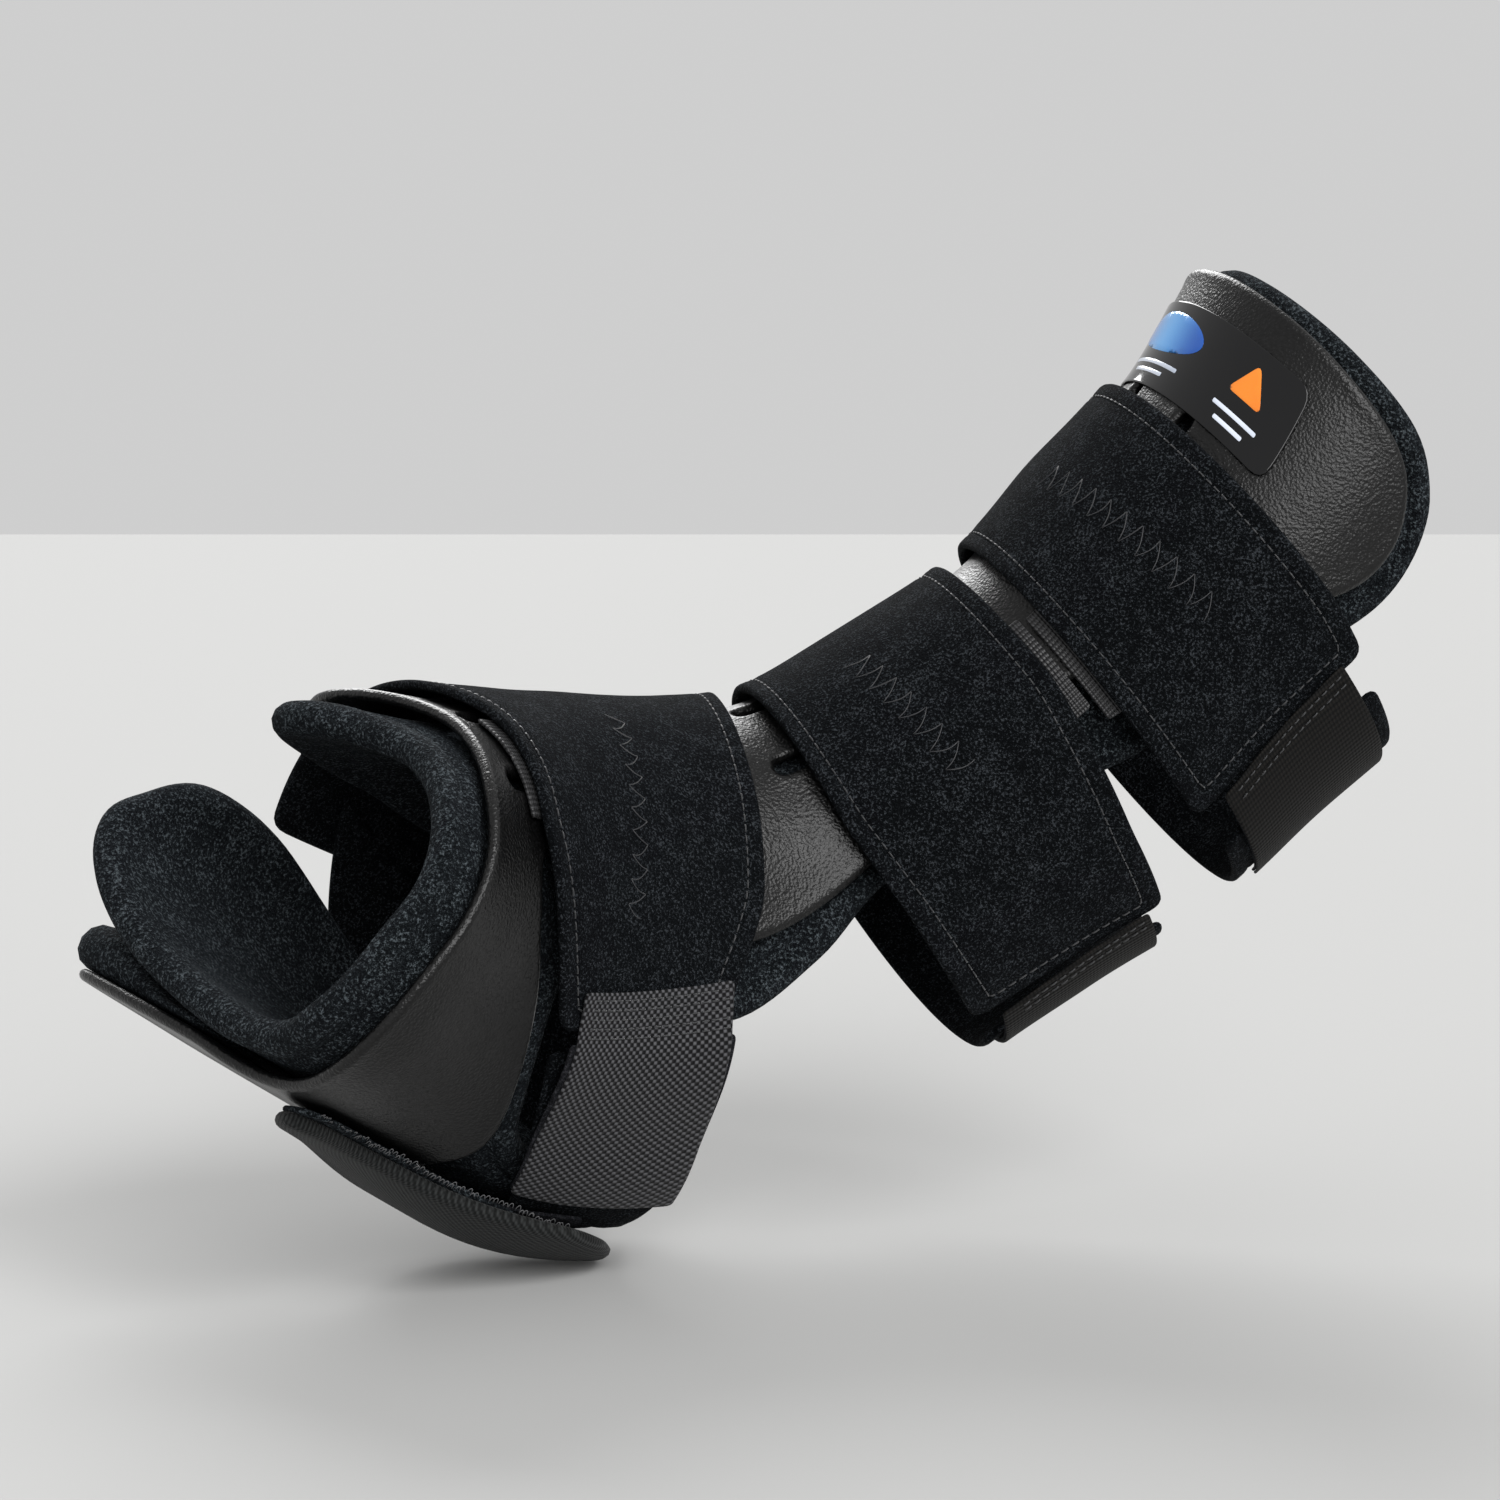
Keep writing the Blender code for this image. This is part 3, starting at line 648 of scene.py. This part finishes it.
# Each strap's front layer, back layer, tab and hook patch; its slots' first and last run; how far its tab's
# cover reaches back over the front layer, and the rows of stitches there; the ends and width of its zigzag;
# and for a calf strap, how far the back layer runs on past its hinge to tuck in under the front layer.
STRAPS = {
    "upper": {"front": ((45, -96), (44, 0), (45, 60), (45, 112), (47, 130), (110, 126), (110, 60), (109, 0),
                        (109, -96)),
              "back": ((49, 143), (49, 190), (49, 276), (107, 263), (107, 190), (107, 143)),
              "tab": ((54, 133), (54, 182), (101, 178), (101, 133)),
              "patch": ((96, 50), (96, 92), (114, 88), (114, 50)), "slots": (39, 107),
              "overlap": 7.0, "tab_rows": 2, "zigzag": ((79, 20), (73, 96), 8.0), "tuck": 24.0},
    "lower": {"front": ((120, -86), (119, 0), (119, 70), (126, 116), (128, 146), (182, 140), (186, 100),
                        (190, 70), (190, 0), (190, -86)),
              "back": ((130, 159), (129, 190), (126, 267), (184, 258), (181, 190), (180, 159)),
              "tab": ((133, 149), (133, 186), (176, 184), (176, 149)),
              "patch": ((115.5, 48), (115.5, 82), (133, 82), (133, 48)), "slots": (124, 198),
              "overlap": 7.0, "tab_rows": 2, "zigzag": ((159, 28), (153, 82), 8.0), "tuck": 11.0},
    "instep": {"front": ((296, -100), (307, 0), (305, 28), (304, 58), (297, 74), (288, 94), (281, 110),
                         (232, 110), (229, 100), (218, 80), (211, 54), (205, 26), (200, 0), (212, -100)),
               "back": ((276, 118), (272, 150), (264, 190), (262, 220), (270, 260), (284, 310),
                        (230, 298), (229, 260), (234, 225), (241, 190), (236, 150), (234, 118)),
               "tab": ((278, 113), (271, 164), (238, 169), (231, 113)),
               "patch": ((294, 18), (293, 56), (306, 56), (309, 18)), "slots": (212, 312),
               "overlap": 14.0, "tab_rows": 5, "zigzag": ((252, 20), (262, 84), 6.5)},
}

SOLE_PAD_EDGE = ((249, 178), (266, 169), (300, 168), (324, 167), (331, 172), (324, 184), (304, 202),
                 (280, 222), (258, 234), (246, 222), (243, 198))
SOLE_LINING_EDGE = ((266, 172), (300, 166), (323, 164), (331, 169), (325, 182), (304, 200), (280, 218),
                    (262, 222), (258, 200))
SOLE_HOOK_ROW = ((326, 165.0), (300, 165.5), (268, 168.5), (256, 174.5))
FLANGE_PAD_EDGE = ((306, 202), (306, 240), (310, 262), (320, 272), (332, 274), (344, 268), (349, 252),
                   (348, 230), (344, 202))

LABEL_EDGE = ((12, -34), (12, 76), (40, 76), (40, -34))
# Printed rules on the label: the run of each, its first and last girth.
LABEL_RULES = ((31.5, -2, 30), (34.5, 4, 24), (31.5, 49, 67), (35.0, 52, 64))
RULE_WIDTH = 1.3


# ---------------------------------------------------------------- shell and liners

def build_shell():
    """The moulded shell with its strap slots, and a low bead inside its rim and round each slot."""
    slots = []
    for strap in STRAPS.values():
        for girth in SLOT_GIRTHS:
            slots.append(slot_outline(*strap["slots"], girth))
            slots.append(slot_outline(*strap["slots"], -girth))

    def rim_bead(run, girth, distance):
        return ridge(distance, BEAD_INSET, 1.6, 0.35)

    shell = panel("moulded_shell", smooth_outline(SHELL_EDGE, 3.0), SHELL_LAYER, 4.0, 1.5, slots,
                  LIMB.place_flat, rim_bead, BEAD_RINGS)
    finish_piece(shell, PLASTIC, "moulded_shell", "root", "shell")


def build_liner(name, edge):
    """A thick fleece liner, sewn in a groove inside its edge and a little uneven over its foam."""
    def quilted(run, girth, distance):
        swell = 0.35 * np.sin(run * 0.11 + girth * 0.05) * np.sin(girth * 0.09 + 0.7)
        return ridge(distance, LINER_GROOVE_INSET, 1.5, -1.7) + swell

    liner = panel(name + "_pad", smooth_outline(edge, 3.0), LINER_LAYER, 2.8, 4.75, relief=quilted,
                  rings=LINER_RINGS)
    finish_piece(liner, FLEECE, "fleece_liner", "root", name)


# ---------------------------------------------------------------- stitches

def along(points, step):
    """The run and the girth at every step along a path."""
    points = np.array(points, dtype=float)
    walked = np.concatenate([[0.0], np.cumsum(np.linalg.norm(np.diff(points, axis=0), axis=1))])
    at = np.arange(0.0, walked[-1], step)
    return [np.interp(at, walked, points[:, axis]) for axis in range(2)]


def stitches(name, points, height, length=3.0, gap=0.9, radius=0.22, place=LIMB.place):
    """A row of straight stitches along a path, each bowed a little off the cloth."""
    run, girth = along(points, length)
    t = np.linspace(0.0, 1.0 - gap / length, 4)
    rise = height + 0.18 * np.sin(pi * t / t[-1]) - 0.05
    paths = []
    for k in range(len(run) - 1):
        run_ahead, girth_ahead = run[k + 1] - run[k], girth[k + 1] - girth[k]
        paths.append(place(run[k] + run_ahead * t, girth[k] + girth_ahead * t, rise))
    finish_piece(tube(name, paths, radius, 5), THREAD, "strap_pile", "root")


def zigzag(name, start, end, width, pitch=3.2):
    """A zigzag row of stitches on a strap, each one bowed and sunk into the pile by its own amount."""
    start, end = np.array(start, dtype=float), np.array(end, dtype=float)
    length = np.linalg.norm(end - start)
    ahead = (end - start) / length
    across = np.array([-ahead[1], ahead[0]])
    corners = [start + ahead * pitch * k + across * width * (0.5 if k % 2 else -0.5)
               for k in range(int(length / pitch))]
    t = np.linspace(0.02, 0.98, 7)
    paths = []
    for first, last in zip(corners, corners[1:]):
        bow = ahead * np.sin(pi * t)[:, None] * RNG.uniform(0.4, 1.3)
        run, girth = (first + (last - first) * t[:, None] + bow).T
        sunk = RNG.uniform(0.0, 0.22)
        paths.append(LIMB.place(run, girth, STRAP_LAYER[1] + 0.1 + 0.16 * np.sin(pi * t) - sunk))
    finish_piece(tube(name, paths, 0.15, 5), THREAD_LIGHT, "strap_pile", "root")


# ---------------------------------------------------------------- straps

def strap_relief(run, girth, distance):
    """A stitched groove inside each long edge, and a little unevenness."""
    return ridge(distance, SEAM_INSET, 0.9, -0.5) + 0.12 * np.sin(run * 0.21 + 1.0) * np.sin(girth * 0.13)


def place_instep_tab_cover(run, girth, height):
    """The tab's cover starts on top of the front layer, then lies on the hook tape."""
    lift = 0.5 * np.clip((115.0 - np.asarray(girth, dtype=float)) / 6.0, 0.0, 1.0)
    return place_instep_tab(run, girth, height - lift)


def build_tab(name, strap, place):
    """The hook tab: a woven cover stitched over the strap's end, and the hook tape under it."""
    body = name + "_tab"
    tab = np.array(strap["tab"], dtype=float)
    hooks = panel(name + "_tab_hook_face", rounded_outline(tab, 2.0, 2.0), TAB_HOOK_LAYER, 2.2, 0.4,
                  place=place)
    finish_piece(hooks, HOOKS, "hook_tape", body, name + "_strap_tab_hooks")

    base = tab[:, 1].min()
    at_base = tab[:, 1] <= base
    cover_edge = tab.copy()
    cover_edge[at_base, 1] -= strap["overlap"]

    def pressed(run, girth, distance):
        return ridge(girth, base - 2.0, 1.0, -0.25)

    cover_place = place_instep_tab_cover if name == "instep" else place
    cover = panel(name + "_tab_cover", rounded_outline(cover_edge, 1.5, 1.8), TAB_COVER_LAYER, 1.7, 0.35,
                  place=cover_place, relief=pressed)
    # The calf tabs take the darker copy of the tab tape, which is painted shade.
    dress(cover, TAPE if name == "instep" else SHADED_TAB_TAPE, "tab_tape", name + "_strap_tab")
    run = float(tab[:, 0].mean())
    start, end = (Vector(place(run, base + shift, 7.0)) for shift in (-1.0, 7.0))
    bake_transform(cover)
    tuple(start)
    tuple(end)

    low, high = tab[at_base, 0].min() + 2.0, tab[at_base, 0].max() - 2.0
    shifts = np.linspace(2.0, strap["overlap"] - 2.0, strap["tab_rows"])
    for number, shift in enumerate(shifts, 1):
        line = ((low, base - shift), (high, base - shift))
        stitches(f"{name}_tab_stitches_{number}", line, TAB_COVER_LAYER[1] + 0.1, 2.6, 0.8, 0.2, cover_place)


def build_strap(name, strap):
    """The front layer with its tab and its topstitching, and the hook patch under it."""
    front_edge = rounded_outline(strap["front"], 4.0, 2.2)
    front = panel(name + "_front_pile", front_edge, STRAP_LAYER, 2.2, 1.4, relief=strap_relief,
                  rings=SEAM_RINGS)
    finish_piece(front, PILE, "strap_pile", "root", name + "_strap_front")
    build_tab(name, strap, place_instep_tab if name == "instep" else LIMB.place)
    patch = panel(name + "_selvage", rounded_outline(strap["patch"], 1.0, 2.0), HOOK_PATCH_LAYER, 1.3, 0.4)
    finish_piece(patch, SELVAGE, "hook_tape", "root", name + "_strap_hook_patch")
    seam = inset_ring(front_edge, SEAM_INSET)
    for side, half in (("far", seam[seam[:, 1] < 0]), ("near", seam[seam[:, 1] >= 0])):
        gaps = np.linalg.norm(np.diff(np.vstack([half, half[:1]]), axis=0), axis=1)
        half = np.roll(half, -np.argmax(gaps) - 1, axis=0)
        stitches(f"{name}_topstitch_{side}", half, STRAP_LAYER[1] - 0.25)


def build_calf_back(name, strap):
    """The back layer hangs from under the front layer's far end."""
    edge = np.array(strap["back"], dtype=float)
    far = edge[:, 1] > 240.0
    hinge = edge[far, 1].mean()
    edge[far, 1] += strap["tuck"]

    def tucked(run, girth, height):
        return LIMB.place(run, girth, height - 2.7 * smooth_step(girth, hinge - 3.0, 9.0))

    back = panel(name + "_back_pile", rounded_outline(edge, 4.0, 2.4), BACK_LAYER, 2.6, 1.3,
                 relief=strap_relief, rings=SEAM_RINGS, place=tucked)
    dress(back, PILE, "strap_pile", name + "_strap_back")
    run, middle = float(edge[:, 0].mean()), sum(BACK_LAYER) / 2
    start, end = (Vector(LIMB.place(run, hinge + shift, middle)) for shift in (4.0, -14.0))
    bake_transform(back)
    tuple(start)
    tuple(end)


def build_sole_back(strap):
    """The instep strap's back layer passes under the sole and rises at its far end."""
    edge = np.array(strap["back"], dtype=float)
    far = edge[:, 1] > 280.0
    edge[far, 1] += (32.0, 24.0)

    def rising(run, girth, height):
        return LIMB.place(run, girth, height + 3.4 * smooth_step(girth, 288.0, 20.0))

    back = panel("instep_back_pile", rounded_outline(edge, 4.0, 2.4), SOLE_STRAP_LAYER, 2.6, 1.3,
                 relief=strap_relief, rings=SEAM_RINGS, place=rising)
    finish_piece(back, PILE, "strap_pile", "root", "instep_strap_back")


# ---------------------------------------------------------------- label

def ink(name, outline, look):
    """A printed shape on the label."""
    piece = panel(name, np.array(outline), INK_LAYER, 2.0, 0.03)
    finish_piece(piece, look, "label", "root")


def build_label():
    """The label's film, and its printing as plain shapes: an oval, a triangle and four rules."""
    plate = panel("label_plate_film", rounded_outline(LABEL_EDGE, 5.0, 1.2), LABEL_LAYER, 2.0, 0.25,
                  rings=(0.6, 1.2))
    finish_piece(plate, LABEL, "label", "root", "label_plate")
    oval = [(22 + 6.5 * cos(a), 14 + 21 * sin(a)) for a in np.linspace(0, 2 * pi, 40, endpoint=False)]
    ink("label_blue_oval", oval, BLUE)
    ink("label_orange_mark", rounded_outline(((16, 58), (27, 51), (27, 65)), 2.5, 1.5), ORANGE)
    for number, (run, first, last) in enumerate(LABEL_RULES, 1):
        rule = ((run, first), (run, last), (run + RULE_WIDTH, last), (run + RULE_WIDTH, first))
        ink(f"label_rule_{number}", rounded_outline(rule, 0.5, 2.0), PALE)


# ---------------------------------------------------------------- sole and flange pads

def build_sole():
    """The pad under the sole, its fleece lining, and a row of loose hook loops along its near edge."""
    pad = panel("sole_pad_fleece", smooth_outline(SOLE_PAD_EDGE, 2.5), SOLE_PAD_LAYER, 2.6, 2.2,
                place=LIMB.place_flat)
    finish_piece(pad, PADCLOTH, "sole_pad_fabric", "root", "sole_pad")
    lining = panel("sole_pad_lining", smooth_outline(SOLE_LINING_EDGE, 2.5), SOLE_LINING_LAYER, 2.6, 0.85,
                   place=LIMB.place_flat)
    finish_piece(lining, FLEECE, "sole_pad_fabric", "root")
    loops = []
    t = np.linspace(0.0, pi, 7)
    for run, girth in zip(*along(SOLE_HOOK_ROW, 1.1)):
        lean, reach, rise = RNG.normal(0.0, 0.25), RNG.uniform(0.7, 1.6), RNG.uniform(2.6, 4.0)
        loops.append(LIMB.place_flat(run + lean + 0.45 * np.cos(t), girth - reach * np.sin(t),
                                     rise - 0.7 * np.sin(t)))
    hooks = tube("sole_pad_hook_row", loops, 0.14, 4)
    finish_piece(hooks, HOOK_LOOPS, "hook_tape", "root")


def place_flange_pad(run, girth, height):
    """The far flange's pad is a wedge: height 0 is its top and height 1 lies on the flange."""
    thickness = np.clip(2.5 + 0.36 * (np.asarray(girth, dtype=float) - 220.0), 2.5, 12.0)
    return LIMB.place_flat(run, girth, -3.6 - (1.0 - height) * thickness)


def build_flange_pad():
    """The fleece pad on the cuff's far flange."""
    piece = panel("far_flange_fleece", smooth_outline(FLANGE_PAD_EDGE, 2.2), (-0.1, 1.02), 2.4, 5.5,
                  place=place_flange_pad)
    finish_piece(piece, FLEECE, "fleece_liner", "root", "far_flange_pad")


build_shell()
build_liner("liner_shin", LINER_SHIN_EDGE)
build_liner("liner_foot", LINER_FOOT_EDGE)
for strap_name, strap_parts in STRAPS.items():
    build_strap(strap_name, strap_parts)
build_calf_back("upper", STRAPS["upper"])
build_calf_back("lower", STRAPS["lower"])
build_sole_back(STRAPS["instep"])
for strap_name, strap_parts in STRAPS.items():
    zigzag(strap_name + "_zigzag", *strap_parts["zigzag"])
build_label()
build_sole()
build_flange_pad()


# ---------------------------------------------------------------- CAD nodes that keep their shape

# The record slot for each node whose name holds this text: webbing loops, hook coins and the sole's tape.
CARRIED = {"_anchor_": "webbing", "hook_dot": "hook_tape", "sole_pad_tape": "hook_tape"}

for node_name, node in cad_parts.items():
    for text, slot in CARRIED.items():
        if text in node_name:
            node.data.materials.clear()
            dress(node, HOOKS, slot)


# ---------------------------------------------------------------- camera, floor and light

FLOOR_SIZE = 8.0
FLOOR_DROP = 0.0005
CAMERA_PLACE = (-0.00882, -1.13653, 0.19512)
CAMERA_TILT = 84.5
CAMERA_LENS = 93.84
# Soft suns, all aimed near the middle of the object: name, place, spread in degrees, strength.
LAMPS = (
    ("key", (0.9, -1.0, 1.3), 28, 1.4),
    ("back", (-0.3, 1.6, 1.2), 34, 2.1),
    ("front", (0.5, -1.9, 1.0), 34, 1.7),
)
LAMP_AIM = Vector((0, 0, 0.08))


def build_floor():
    """A plain pale floor just under the object."""
    bpy.ops.mesh.primitive_plane_add(size=FLOOR_SIZE, location=(0.3, 1.0, CAD_BOX[0][2] - FLOOR_DROP))
    floor = bpy.context.object
    floor.name = "floor"
    floor.data.materials.append(plain_material("floor_paper", 0.9, (0.46, 0.46, 0.455), specular=0.1))


def build_light(scene):
    """An even pale sky and three soft suns."""
    world = bpy.data.worlds.new("studio")
    world.use_nodes = True
    sky = world.node_tree.nodes["Background"]
    sky.inputs["Color"].default_value = (1, 1, 1, 1)
    sky.inputs["Strength"].default_value = 0.62
    scene.world = world
    for name, place, spread, power in LAMPS:
        lamp = bpy.data.lights.new(name, "SUN")
        lamp.energy = power
        lamp.angle = radians(spread)
        lamp_object = bpy.data.objects.new(name, lamp)
        lamp_object.location = place
        lamp_object.rotation_euler = (LAMP_AIM - Vector(place)).to_track_quat("-Z", "Y").to_euler()
        scene.collection.objects.link(lamp_object)


def build_camera(scene):
    """The camera stands on the near side and looks slightly down."""
    camera = bpy.data.objects.new("camera", bpy.data.cameras.new("camera"))
    camera.location = CAMERA_PLACE
    camera.rotation_euler = (radians(CAMERA_TILT), 0, 0)
    camera.data.sensor_width = 36.0
    camera.data.lens = CAMERA_LENS
    scene.collection.objects.link(camera)
    scene.camera = camera
    scene.view_settings.view_transform = "Standard"


build_floor()
build_light(bpy.context.scene)
build_camera(bpy.context.scene)
